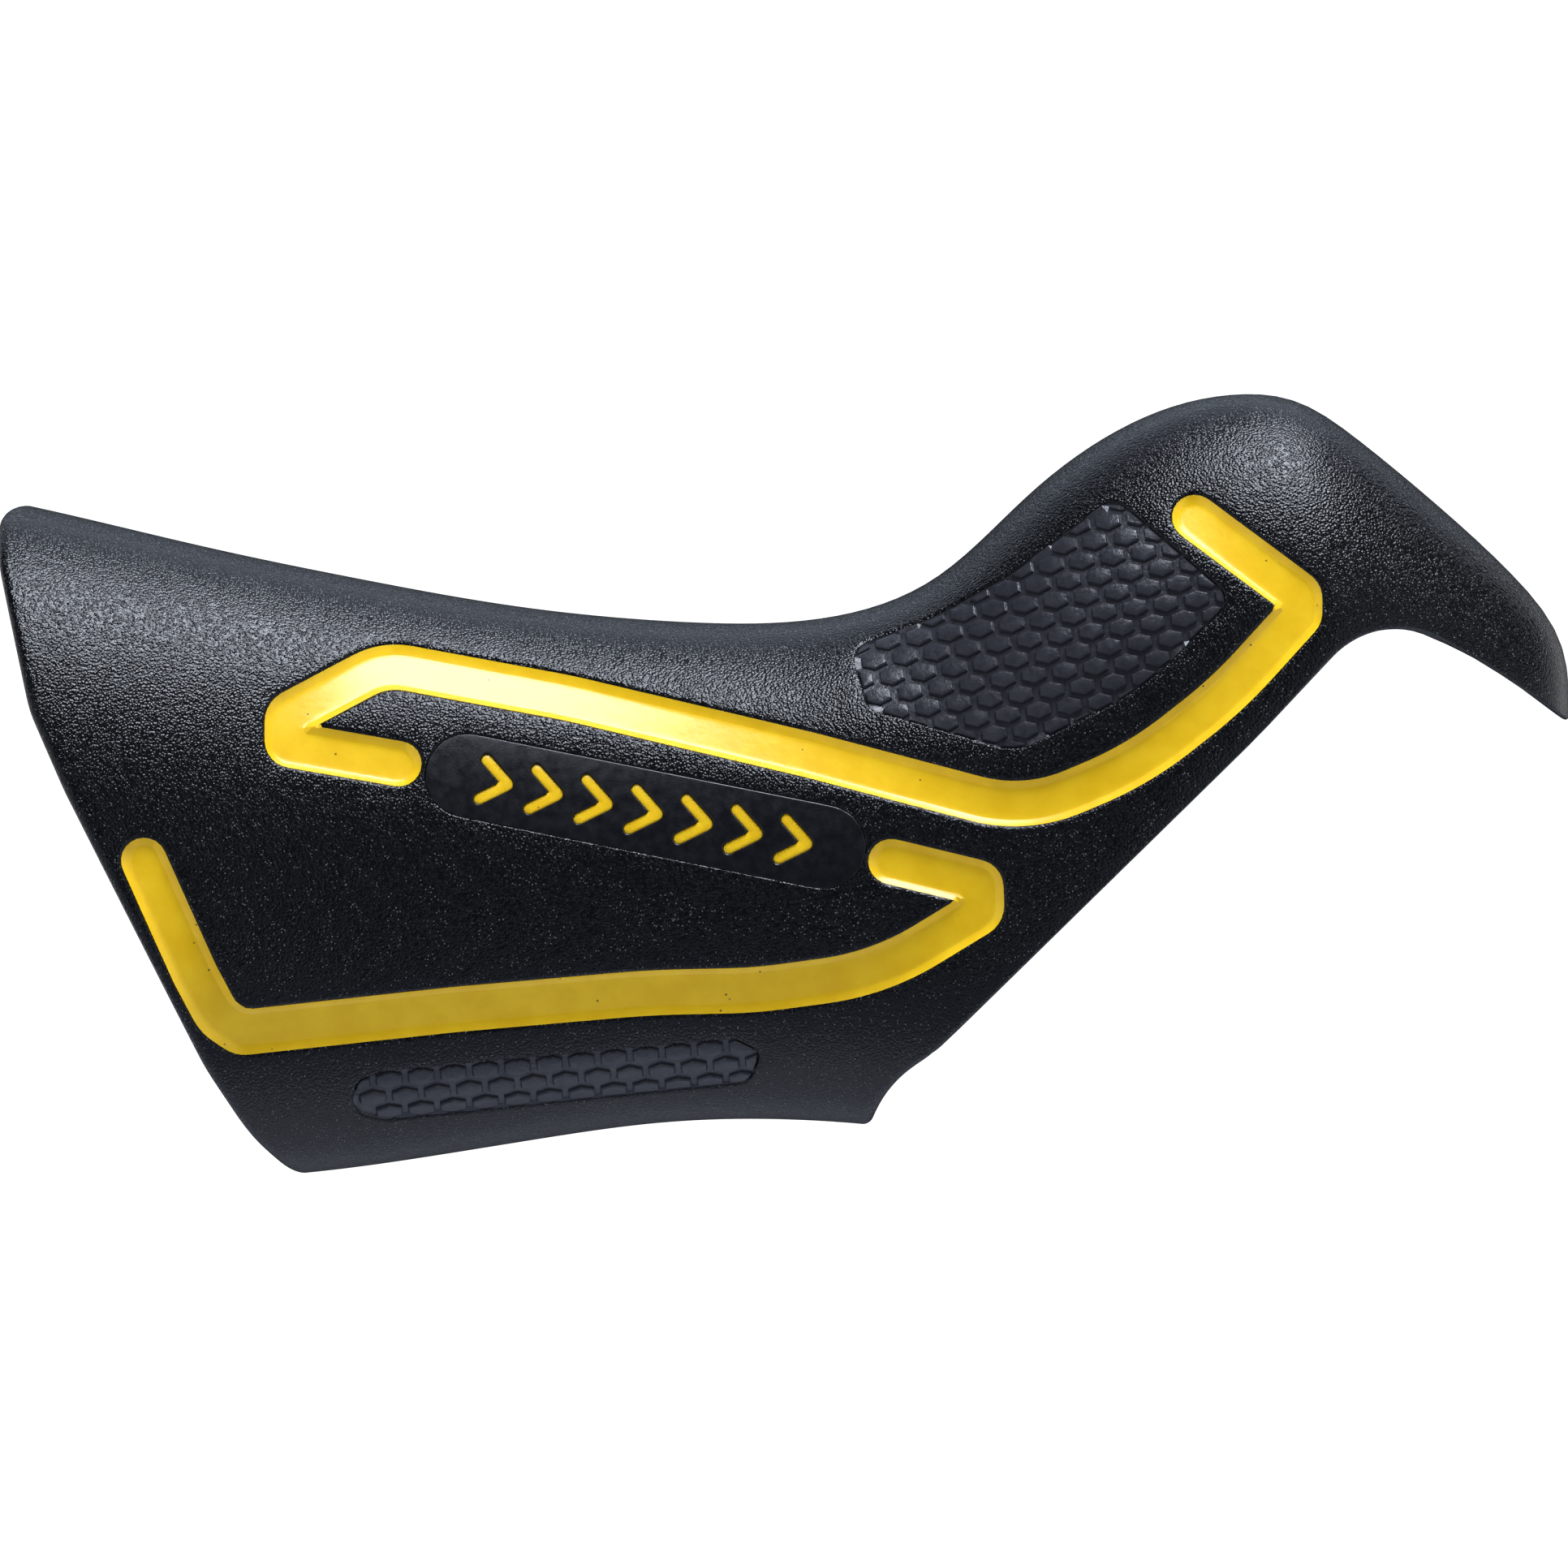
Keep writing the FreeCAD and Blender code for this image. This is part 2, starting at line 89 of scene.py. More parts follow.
LOWER_STRIPE = [(-0.4, -1.7, 0), (3.8, -11.1, 8), (5.7, -14.7, 3), (7.6, -16.0, 1), (25.1, -14.1, 90),
                (41.2, -12.7, 90), (50.0, -12.5, 40), (60.2, -11.1, 22), (68.7, -5.9, 0.8),
                (68.6, -3.6, 0.4), (61.2, -1.8, 0)]
PLAQUE_LINE = [(26.2, 5.3, 0), (55.7, -0.6, 0)]
THUMB_PAD = [(57.8, 15.9, 1.6), (59.3, 10.8, 1.4), (71.6, 7.2, 4.5), (81.9, 12.4, 20), (89.6, 19.9, 1.5),
             (79.6, 28.5, 2.0), (70.6, 21.7, 8), (65.0, 18.6, 20)]
FINGER_PAD = [(17.0, -20.0, 1.3), (19.3, -19.2, 0.6), (48.3, -16.5, 0.6), (50.6, -17.6, 1.0),
              (49.6, -20.2, 1.3), (19.4, -23.3, 1.3), (16.6, -22.6, 1.3)]

# The wall, the pockets in it and the inlays' half widths. The gap keeps an inlay clear of its pocket.
WALL = 2.2
POCKET_DEPTH = 1.2
INLAY_GAP = 0.02
STRIPE_HALF = 1.9
PLAQUE_HALF = 3.5

# Inlay borders as (inset from the outline, depth below the skin), from the outline inward.
STRIPE_PROFILE = [(INLAY_GAP, 0.16), (0.12, 0.26), (0.34, 0.42), (0.56, 0.57), (0.64, 0.60), (0.9, 0.62),
                  (1.2, 0.635)]
STRIPE_FLOOR = 0.64
PLAQUE_PROFILE = [(0.04, 0.10), (0.08, 0.06), (0.14, 0.035), (0.25, 0.03)]
MARK_PROFILE = [(0.02, 0.34), (0.1, 0.27), (0.22, 0.235)]
MARK_TOP = 0.225
MARK_BOTTOM = 0.88
STUD_PROFILE = [(0.0, 0.32), (0.04, 0.13), (0.12, 0.03), (0.26, 0.0)]
PAD_RIM_DEPTH = 0.13
PAD_BORDER = 0.12

# Grip studs: hexagons in sloping rows. The finger pad's rows are stud height and z of the row's start.
STUD_PITCH = 2.58
STUD_ROW = 1.48
STUD_WIDE = 2.1
STUD_TALL = 1.55
SMALLEST_STUD_AREA = 0.25
THUMB_ROW_SLOPE = math.radians(7.5)
THUMB_ORIGIN = (72.6, 16.6)
THUMB_REACH = 9
FINGER_ROW_SLOPE = math.radians(5.4)
FINGER_ROWS = [(1.50, -20.46), (1.32, -21.89), (1.10, -23.12)]
FINGER_PITCH = 2.66
FINGER_START_X = 14.5
FINGER_STUD_WIDE = 2.2
FINGER_COLUMNS = 15

# The plaque's chevrons, and the pockets they sit in.
MARK_COUNT = 7
MARK_PITCH = 4.2
MARK_HEIGHT = 4.3
MARK_HALF = 0.5
MARK_TIP_RADIUS = 0.12
MARK_RIM = 0.12
MARK_LIP = (0.1, 0.04)
MARK_FLOOR = 0.9

# Inside the sleeve: palm ribs under the top, and pegs whose profile runs from tip to wall as (radius, y).
RIB_PITCH = 5.0
RIB_HEIGHT = 0.8
RIB_START = 4
RIB_END = 62
RIB_LOWEST = 2
PEG_SPOTS = [(14.0, -2.0), (50.0, -4.0)]
PEG_ROOT_Y = -16.2
PEG_PROFILE = [(0.0, -12.2), (1.6, -12.2), (1.9, -12.3), (2.0, -12.6), (2.0, -14.0), (2.3, -14.2),
               (3.7, -14.2), (3.95, -14.3), (4.0, -14.55), (4.0, PEG_ROOT_Y), (0.0, PEG_ROOT_Y)]

# Skin lips round the pockets: depth at the pocket and reach over the skin, and the shares of the reach
# at which a lip's contours lie.
TROUGH_LIP = (0.16, 0.3)
PLAQUE_LIP = (0.06, 0.12)
PAD_LIP = (0.10, 0.2)
LIP_SHARES = (0.3, 0.65, 1.0)

# Point spacing of outlines, of the finer mark outlines, and of inlay floors.
OUTLINE_STEP = 0.55
MARK_STEP = 0.25
FLOOR_SPACING = 1.6

# One design millimetre in metres, measured on the CAD sleeve.
SLEEVE_LENGTH = 130.483
sleeve_low, sleeve_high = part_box("hood_sleeve")
MM = (sleeve_high.x - sleeve_low.x) / SLEEVE_LENGTH

# Patches are triangulated flat, in a domain of place along and angle times this mean radius across.
ROUND = 20.0


# ---------------------------------------------------------------- the skin

def section_points(shape, angle):
    """Points on sections of the sleeve, one row of shape numbers and one angle each."""
    top_x, top_z, bottom_x, bottom_z, half_width, widest = np.asarray(shape).T
    down = -np.cos(angle)
    side = np.sin(angle)
    power = 2 / np.where(down < 0, UPPER_ROUNDNESS, LOWER_ROUNDNESS)
    reach = np.where(down < 0, widest, 1 - widest)
    share = widest + reach * np.sign(down) * np.abs(down) ** power
    y = -half_width * np.sign(side) * np.abs(side) ** power
    return np.column_stack([top_x + share * (bottom_x - top_x), y, top_z + share * (bottom_z - top_z)])


def spline_through(at, values):
    """Natural cubic spline through rows of values, as a function of place."""
    gap = np.diff(at)
    count = len(at)
    matrix = np.zeros((count, count))
    right = np.zeros_like(values)
    matrix[0, 0] = 1
    matrix[-1, -1] = 1
    for i in range(1, count - 1):
        matrix[i, i - 1:i + 2] = gap[i - 1], 2 * (gap[i - 1] + gap[i]), gap[i]
        right[i] = 6 * ((values[i + 1] - values[i]) / gap[i] - (values[i] - values[i - 1]) / gap[i - 1])
    bend = np.linalg.solve(matrix, right)

    def value(place):
        i = np.clip(np.searchsorted(at, place) - 1, 0, count - 2)
        h = gap[i][:, None]
        a = (at[i + 1] - place)[:, None] / h
        b = 1 - a
        straight = a * values[i] + b * values[i + 1]
        curved = (a ** 3 - a) * bend[i] + (b ** 3 - b) * bend[i + 1]
        return straight + curved * h * h / 6
    return value


def station_places():
    """Mean distance along the sleeve of each station."""
    count = 24
    angles = np.linspace(0, 2 * math.pi, count, endpoint=False)
    rings = [section_points(np.tile(station, (count, 1)), angles) for station in STATIONS]
    steps = [np.linalg.norm(b - a, axis=1).mean() for a, b in zip(rings, rings[1:])]
    return np.concatenate([[0], np.cumsum(steps)])


PLACES = station_places()
shape_at = spline_through(PLACES, STATIONS)


def skin_point(place, angle):
    """Points of the outer skin."""
    return section_points(shape_at(np.asarray(place, float)), np.asarray(angle, float))


def skin_normal(place, angle):
    """Outward unit normals of the outer skin."""
    step, turn = 0.1, 0.003
    along = skin_point(place + step, angle) - skin_point(place - step, angle)
    around = skin_point(place, angle + turn) - skin_point(place, angle - turn)
    normal = np.cross(around, along)
    return normal / np.linalg.norm(normal, axis=1, keepdims=True)


def below_skin(domain, depth):
    """Points at a depth below the outer skin, from domain coordinates."""
    domain = np.asarray(domain, float)
    place = domain[:, 0]
    angle = domain[:, 1] / ROUND
    depth = np.broadcast_to(depth, place.shape)
    return skin_point(place, angle) - skin_normal(place, angle) * depth[:, None]


def on_flank(side_points):
    """Domain coordinates of side-view points (x, z) on the outboard skin.

    Each point's place is where the sections' centre lines sweep across it. Its angle then follows from its
    share of that section's height.
    """
    sections, beyond = 1200, 0.2
    side_points = np.asarray(side_points, float)
    places = np.linspace(0, PLACES[-1], sections)
    shapes = shape_at(places)
    top = shapes[:, 0:2]
    drop = shapes[:, 2:4] - top
    found = np.zeros(len(side_points))
    for n, point in enumerate(side_points):
        offset = point - top
        ahead = offset[:, 0] * drop[:, 1] - offset[:, 1] * drop[:, 0]
        share = (offset * drop).sum(1) / (drop * drop).sum(1)
        crossing = (ahead[:-1] * ahead[1:] <= 0) & (share[:-1] > -beyond) & (share[:-1] < 1 + beyond)
        i = int(np.argmax(crossing))
        found[n] = places[i] + (places[i + 1] - places[i]) * ahead[i] / (ahead[i] - ahead[i + 1])
    shapes = shape_at(found)
    drop = shapes[:, 2:4] - shapes[:, 0:2]
    share = ((side_points - shapes[:, 0:2]) * drop).sum(1) / (drop * drop).sum(1)
    widest = shapes[:, 5]
    upper = share < widest
    reach = np.where(upper, widest, 1 - widest)
    power = np.where(upper, UPPER_ROUNDNESS, LOWER_ROUNDNESS) / 2
    level = np.clip(np.abs(share - widest) / reach, 0, 1) ** power
    angle = np.arccos(np.where(upper, level, -level))
    return np.column_stack([found, angle * ROUND])


# ---------------------------------------------------------------- outlines in the side view

def unit(v):
    """A vector scaled to length 1."""
    return v / np.linalg.norm(v)


def turned(v, angle):
    """A flat vector turned by an angle."""
    return np.array([v[0] * math.cos(angle) - v[1] * math.sin(angle),
                     v[0] * math.sin(angle) + v[1] * math.cos(angle)])


def rounded(corners, closed, step=0.5):
    """Points along straight lines and tangent arcs through corners of (x, z, radius)."""
    least_pieces, widest_turn = 4, 0.2
    count = len(corners)
    bends = []
    for i, (x, z, radius) in enumerate(corners):
        here = np.array([x, z])
        if radius == 0 or (not closed and i in (0, count - 1)):
            bends.append([here])
            continue
        back = unit(np.array(corners[i - 1][:2]) - here)
        ahead = unit(np.array(corners[(i + 1) % count][:2]) - here)
        half = math.acos(np.clip(back @ ahead, -1, 1)) / 2
        centre = here + unit(back + ahead) * radius / math.sin(half)
        sweep = math.pi - 2 * half
        start = here + back * radius / math.tan(half) - centre
        turn = math.copysign(1, start[0] * (here - centre)[1] - start[1] * (here - centre)[0])
        pieces = max(least_pieces, math.ceil(sweep * radius / step), math.ceil(sweep / widest_turn))
        angles = [turn * sweep * k / pieces for k in range(pieces + 1)]
        bends.append([centre + turned(start, a) for a in angles])
    points = []
    for i, bend in enumerate(bends):
        points += bend
        if closed or i < count - 1:
            stop = bends[(i + 1) % count][0]
            pieces = max(1, round(np.linalg.norm(stop - bend[-1]) / step))
            points += [bend[-1] + (stop - bend[-1]) * k / pieces for k in range(1, pieces)]
    return np.array(points)


def distance_to(points, line, closed=False):
    """Distance of each point to a polyline."""
    points = np.asarray(points, float)
    starts = line if closed else line[:-1]
    stops = np.roll(line, -1, axis=0) if closed else line[1:]
    best = np.full(len(points), np.inf)
    for a, b in zip(starts, stops):
        run = b - a
        length = max(run @ run, 1e-12)
        t = np.clip(((points - a) @ run) / length, 0, 1)
        best = np.minimum(best, np.linalg.norm(points - a - t[:, None] * run, axis=1))
    return best


def inside(points, loop):
    """Whether each point is inside a closed loop, by counting crossings."""
    points = np.asarray(points, float)
    result = np.zeros(len(points), bool)
    for a, b in zip(loop, np.roll(loop, -1, axis=0)):
        spans = (a[1] > points[:, 1]) != (b[1] > points[:, 1])
        if spans.any():
            at = a[0] + (points[:, 1] - a[1]) * (b[0] - a[0]) / (b[1] - a[1] + 1e-30)
            result ^= spans & (points[:, 0] < at)
    return result


def resampled(loop, step):
    """A closed loop's points at an even spacing."""
    closed = np.vstack([loop, loop[:1]])
    run = np.concatenate([[0], np.cumsum(np.linalg.norm(np.diff(closed, axis=0), axis=1))])
    count = max(6, round(run[-1] / step))
    at = np.arange(count) * run[-1] / count
    return np.column_stack([np.interp(at, run, closed[:, 0]), np.interp(at, run, closed[:, 1])])


def stroke_loop(path, radius, step=OUTLINE_STEP):
    """Closed outline of a round-ended stroke along a path."""
    cap_pieces, slack = 12, 0.004
    run = np.gradient(path, axis=0)
    run /= np.linalg.norm(run, axis=1, keepdims=True)
    across = np.column_stack([-run[:, 1], run[:, 0]])

    def cap(centre, first, turn):
        angles = [turn * math.pi * k / cap_pieces for k in range(1, cap_pieces)]
        return [centre + radius * turned(first, a) for a in angles]

    loop = np.vstack([path + across * radius, cap(path[-1], across[-1], -1),
                      (path - across * radius)[::-1], cap(path[0], -across[0], -1)])
    kept = distance_to(loop, path) > radius - slack
    return resampled(loop[kept], step)


def inner_loop(loop, inset, step=OUTLINE_STEP):
    """A closed loop moved inward by inset, or outward where inset is negative."""
    slack = 0.006
    run = np.roll(loop, -1, axis=0) - np.roll(loop, 1, axis=0)
    run /= np.linalg.norm(run, axis=1, keepdims=True)
    across = np.column_stack([-run[:, 1], run[:, 0]])
    area = (loop[:, 0] * np.roll(loop[:, 1], -1) - np.roll(loop[:, 0], -1) * loop[:, 1]).sum()
    moved = loop + across * math.copysign(inset, area * inset)
    kept = distance_to(moved, loop, closed=True) > abs(inset) - slack
    return resampled(moved[kept], step)


def clipped(loop, window):
    """The part of a closed loop that lies in a convex window, both as corner lists."""
    shortest_edge = 0.02
    out = list(loop)
    centre = np.mean(window, axis=0)
    for a, b in zip(window, np.roll(window, -1, axis=0)):
        normal = np.array([-(b - a)[1], (b - a)[0]])
        if normal @ (centre - a) < 0:
            normal = -normal
        levels = [normal @ (p - a) for p in out]
        kept = []
        for i, p in enumerate(out):
            q, here, there = out[i - 1], levels[i], levels[i - 1]
            if (here >= 0) != (there >= 0):
                kept.append(q + (p - q) * there / (there - here))
            if here >= 0:
                kept.append(p)
        out = kept
        if len(out) < 3:
            return np.zeros((0, 2))
    return np.array([p for i, p in enumerate(out) if np.linalg.norm(p - out[i - 1]) > shortest_edge])


def loop_area(loop):
    """Area inside a closed loop."""
    x, z = loop.T
    return abs((x * np.roll(z, -1) - np.roll(x, -1) * z).sum()) / 2


# ---------------------------------------------------------------- meshes

def hexagon_seeds(low, high, spacing):
    """Points of a triangular grid in a box."""
    rows = []
    for k, q in enumerate(np.arange(low[1], high[1], spacing * math.sqrt(3) / 2)):
        p = np.arange(low[0] + spacing / 2 * (k % 2), high[0], spacing)
        rows.append(np.column_stack([p, np.full(len(p), q)]))
    return np.vstack(rows)


def stays_clear(loop, outline, holes):
    """Which edges of a contour keep inside the outline and out of the holes, tested along each edge."""
    tests = 9
    following = np.roll(loop, -1, axis=0)
    shares = np.linspace(0, 1, tests)[:, None, None]
    tested = (loop + (following - loop) * shares).reshape(-1, 2)
    clear = inside(tested, outline)
    for hole, _ in holes:
        clear &= ~inside(tested, hole)
    return clear.reshape(tests, -1).all(axis=0)


def patch(outline, holes=(), contours=(), spacing=1.25, inner_depth=0.0):
    """Triangles inside an outline and outside its holes.

    Outline, holes and contours are (domain loop, depth) pairs. The triangles keep to the contours' lines,
    and the inner depth is that of the points in between. Returns domain points, depths and triangles.
    """
    margin, tolerance = spacing * 0.5, 1e-5
    loops = [outline, *holes, *contours]
    points = np.vstack([loop for loop, _ in loops])
    depths = np.concatenate([np.broadcast_to(depth, len(loop)) for loop, depth in loops])
    edges, first = [], 0
    for k, (loop, _) in enumerate(loops):
        count = len(loop)
        kept = np.arange(count)
        if k > len(holes):
            kept = kept[stays_clear(loop, outline[0], holes)]
        edges += [(first + int(i), first + (int(i) + 1) % count) for i in kept]
        first += count
    if spacing:
        seeds = hexagon_seeds(points.min(0), points.max(0), spacing)
        clear = inside(seeds, outline[0])
        for loop, _ in holes:
            clear &= ~inside(seeds, loop)
        seeds = seeds[clear]
        for loop, _ in loops:
            seeds = seeds[distance_to(seeds, loop, closed=True) > margin]
        points = np.vstack([points, seeds])
        depths = np.concatenate([depths, np.full(len(seeds), inner_depth)])
    found = delaunay_2d_cdt([Vector(p) for p in points], edges, [], 0, tolerance, True)
    flat, faces, origins = found[0], found[2], found[3]
    out_points = np.array([points[o[0]] if o else tuple(v) for v, o in zip(flat, origins)])
    out_depths = np.array([depths[o[0]] if o else np.nan for o in origins])
    for i in np.flatnonzero(np.isnan(out_depths)):
        near = np.linalg.norm(points - out_points[i], axis=1).argmin()
        out_depths[i] = depths[near]
    faces = np.array([f for f in faces if len(f) == 3])
    middles = out_points[faces].mean(axis=1)
    kept = inside(middles, outline[0])
    for loop, _ in holes:
        kept &= ~inside(middles, loop)
    return out_points, out_depths, faces[kept]


class Shell:
    """Points in design millimetres and faces, gathered piece by piece."""

    def __init__(self):
        self.points = []
        self.faces = []
        self.count = 0

    def add(self, points, faces):
        """Add points, and faces that count from the first of them."""
        self.points.append(points)
        self.faces += [[self.count + i for i in face] for face in faces]
        self.count += len(points)

    def add_patch(self, found):
        """Add a patch, as patch() returns it."""
        domain, depths, faces = found
        self.add(below_skin(domain, depths), faces)

    def add_band(self, rows, closed=True):
        """Quads between successive rows of 3-D points."""
        width = len(rows[0])
        faces = []
        for start in range(0, (len(rows) - 1) * width, width):
            for i in range(width if closed else width - 1):
                j = (i + 1) % width
                faces.append((start + i, start + j, start + width + j, start + width + i))
        self.add(np.vstack(rows), faces)

    def add_wall(self, loop, depths):
        """A wall straight down below a closed domain loop, through a list of depths."""
        self.add_band([below_skin(loop, d) for d in depths])

    def add_shell(self, other):
        """Add another shell's points and faces."""
        self.add(np.vstack(other.points), other.faces)

    def mirrored(self):
        """The same shell on the other side of the symmetry plane."""
        other = Shell()
        other.add(np.vstack(self.points) * (1, -1, 1), [face[::-1] for face in self.faces])
        return other


def make_piece(name, shells, node, material, sharp_degrees=38):
    """A mesh object from closed shells that stands for a CAD node. Points that coincide are welded."""
    weld_decimals = 4
    whole = Shell()
    for shell in shells:
        whole.add_shell(shell)
    points = np.vstack(whole.points)
    keys = np.round(points, weld_decimals) + 0.0
    _, kept, joined = np.unique(keys, axis=0, return_index=True, return_inverse=True)
    joined = joined.ravel()
    clean = []
    for face in whole.faces:
        ring = [int(joined[i]) for i in face]
        ring = [v for i, v in enumerate(ring) if v != ring[i - 1]]
        if len(set(ring)) > 2:
            clean.append(ring)
    mesh = bpy.data.meshes.new(name)
    mesh.from_pydata((points[kept] * MM).tolist(), [], clean)
    work = bmesh.new()
    work.from_mesh(mesh)
    bmesh.ops.recalc_face_normals(work, faces=work.faces)
    work.to_mesh(mesh)
    open_edges = sum(1 for e in work.edges if len(e.link_faces) != 2)
    work.free()
    if open_edges:
        print(name, "has open edges:", open_edges)
    mesh.shade_smooth()
    mesh.set_sharp_from_angle(angle=math.radians(sharp_degrees))
    mesh.materials.append(material)
    piece = bpy.data.objects.new(name, mesh)
    bpy.context.scene.collection.objects.link(piece)
    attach(piece, "root")
    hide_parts(node)
    return piece


# ---------------------------------------------------------------- materials

def new_material(name, base, roughness, specular=0.5, sheen=(1, 1, 1)):
    """A material with its node tree and its shader. Sheen tints the gloss."""
    material = bpy.data.materials.new(name)
    material.use_nodes = True
    tree = material.node_tree
    shader = tree.nodes["Principled BSDF"]
    shader.inputs["Base Color"].default_value = (*base, 1)
    shader.inputs["Roughness"].default_value = roughness
    shader.inputs["Specular IOR Level"].default_value = specular
    shader.inputs["Specular Tint"].default_value = (*sheen, 1)
    return material, tree, shader


def node(tree, kind, inputs=(), **settings):
    """A new node, with its inputs set to values or linked to sockets."""
    made = tree.nodes.new(kind)
    for key, value in settings.items():
        setattr(made, key, value)
    for key, value in dict(inputs).items():
        if isinstance(value, bpy.types.NodeSocket):
            tree.links.new(value, made.inputs[key])
        else:
            made.inputs[key].default_value = value
    return made


def place_noise(tree, size_mm, detail=2.0, roughness=0.5):
    """Noise in object space with features of about one size in millimetres."""
    where = node(tree, "ShaderNodeTexCoord").outputs["Object"]
    return node(tree, "ShaderNodeTexNoise",
                {"Vector": where, "Scale": 1 / (size_mm * MM), "Detail": detail, "Roughness": roughness})


def span(tree, value, low, high, to_low, to_high):
    """A value's range low to high, stretched to another range."""
    made = node(tree, "ShaderNodeMapRange", {"Value": value, "From Min": low, "From Max": high,
                                             "To Min": to_low, "To Max": to_high})
    return made.outputs["Result"]


def bump(tree, height, depth_mm, strength=1.0, normal=None):
    """A bumped normal, on top of another one if given."""
    inputs = {"Height": height, "Distance": depth_mm * MM, "Strength": strength}
    if normal is not None:
        inputs["Normal"] = normal
    return node(tree, "ShaderNodeBump", inputs).outputs["Normal"]


def mixed(tree, share, first, second):
    """A colour between two colours or colour sockets."""
    made = node(tree, "ShaderNodeMix", data_type="RGBA")
    tree.links.new(share, made.inputs["Factor"])
    for key, value in (("A", first), ("B", second)):
        socket = next(s for s in made.inputs if s.name == key and s.type == "RGBA")
        if isinstance(value, bpy.types.NodeSocket):
            tree.links.new(value, socket)
        else:
            socket.default_value = (*value, 1)
    return next(s for s in made.outputs if s.type == "RGBA")


BLACK = (0.0022, 0.0024, 0.0032)
# Colour of the pale dots on the black rubber: dust, and painted glints of the grain.
DUST_AND_PAINTED_GLINT = (0.15, 0.16, 0.18)
COOL = (0.80, 0.87, 1.0)
GRAIN_MM = 0.22
DUST_AND_GLINT_DOT_MM = 0.3
SPECK_MM = 1.7


def pebbled_rubber():
    """Black rubber with a fine, sharp pebble grain, and pale dots here and there: dust, and painted glints
    of its facets.
    """
    material, tree, shader = new_material("pebbled_rubber_look", BLACK, roughness=0.30, specular=0.37,
                                          sheen=COOL)

    # The grain's cells, bent a little so that they don't look regular.
    where = node(tree, "ShaderNodeTexCoord").outputs["Object"]
    drift = place_noise(tree, 0.5, 1.0).outputs["Color"]
    bent = node(tree, "ShaderNodeVectorMath", {0: drift, "Scale": 0.16 * MM}, operation="SCALE")
    spot = node(tree, "ShaderNodeVectorMath", {0: where, 1: bent.outputs["Vector"]}, operation="ADD")
    cells = {"Vector": spot.outputs["Vector"], "Scale": 1 / (GRAIN_MM * MM), "Smoothness": 0.3}
    grain = node(tree, "ShaderNodeTexVoronoi", cells, feature="SMOOTH_F1").outputs["Distance"]
    dome = span(tree, grain, 0.05, 0.75, 1.0, 0.0)
    fine = place_noise(tree, 0.12, 2.0).outputs["Fac"]
    rough = span(tree, place_noise(tree, 1.6, 3.0).outputs["Fac"], 0.3, 0.7, 0.18, 0.25)
    tree.links.new(rough, shader.inputs["Roughness"])
    coarse_bump = bump(tree, dome, 0.046)
    tree.links.new(bump(tree, fine, 0.02, 1.0, coarse_bump), shader.inputs["Normal"])

    # Pale dots at the middle of some cells of a second pattern: dust, and painted glints of the grain.
    speck_cells = node(tree, "ShaderNodeTexVoronoi", {"Vector": where, "Scale": 1 / (DUST_AND_GLINT_DOT_MM * MM)}).outputs
    dust_and_glint_dots = span(tree, speck_cells["Distance"], 0.1, 0.24, 1.0, 0.0)
    chosen = span(tree, speck_cells["Color"], 0.36, 0.70, 0.0, 1.0)
    bright = mixed(tree, chosen, BLACK, DUST_AND_PAINTED_GLINT)
    tree.links.new(mixed(tree, dust_and_glint_dots, BLACK, bright), shader.inputs["Base Color"])
    return material


def smooth_rubber(name, base, roughness, specular, dent_mm, dent_depth):
    """Smooth moulded rubber with an uneven gloss and faint mould marks."""
    material, tree, shader = new_material(name, base, roughness, specular, COOL)
    patches = place_noise(tree, 0.9, 4.0).outputs["Fac"]
    rough = span(tree, patches, 0.3, 0.7, roughness - 0.07, roughness + 0.1)
    tree.links.new(rough, shader.inputs["Roughness"])
    dents = place_noise(tree, dent_mm, 3.0).outputs["Fac"]
    tree.links.new(bump(tree, dents, dent_depth), shader.inputs["Normal"])
    return material


def stripe_silicone():
    """Glossy poured silicone, yellow, with a faint ripple and a few dark specks."""
    material, tree, shader = new_material("stripe_silicone_look", (0.78, 0.53, 0.02), 0.3)
    shader.inputs["Subsurface Weight"].default_value = 0.12
    shader.inputs["Subsurface Radius"].default_value = (0.0011, 0.0006, 0.0002)
    shader.inputs["Subsurface Scale"].default_value = 0.5
    tone = span(tree, place_noise(tree, 2.2, 2.0).outputs["Fac"], 0.35, 0.65, 0.0, 1.0)
    colour = mixed(tree, tone, (0.77, 0.495, 0.010), (0.83, 0.555, 0.016))
    where = node(tree, "ShaderNodeTexCoord").outputs["Object"]
    speck_cells = node(tree, "ShaderNodeTexVoronoi", {"Vector": where, "Scale": 1 / (SPECK_MM * MM)})
    speck = span(tree, speck_cells.outputs["Distance"], 0.045, 0.065, 1.0, 0.0)
    colour = mixed(tree, speck, colour, (0.12, 0.08, 0.01))
    tree.links.new(colour, shader.inputs["Base Color"])
    ripple = place_noise(tree, 0.7, 3.0).outputs["Fac"]
    tree.links.new(bump(tree, ripple, 0.02), shader.inputs["Normal"])
    return material


# ---------------------------------------------------------------- inlays

def shrunk_stroke(path, half, depths):
    """(domain loop, depth) pairs of a stroke's outline moved inward, from (inset, depth) pairs."""
    return [(on_flank(stroke_loop(path, half - inset)), depth) for inset, depth in depths]


def closed_inlay(rings, holes=(), contours=(), spacing=0.9, inner_depth=0.0):
    """A closed solid with a shaped top. The first ring is its outline, the others lie inside it."""
    bottom = POCKET_DEPTH - INLAY_GAP
    shell = Shell()
    shell.add_patch(patch(rings[0], holes, [*rings[1:], *contours], spacing, inner_depth))
    shell.add_wall(rings[0][0], [rings[0][1], bottom])
    shell.add_patch(patch((rings[0][0], bottom), spacing=FLOOR_SPACING, inner_depth=bottom))
    return shell


def stripe(corners):
    """A stripe along a rounded path, a little recessed, that climbs its trough's walls."""
    rings = shrunk_stroke(rounded(corners, False), STRIPE_HALF, STRIPE_PROFILE)
    return closed_inlay(rings, spacing=0.7, inner_depth=STRIPE_FLOOR)


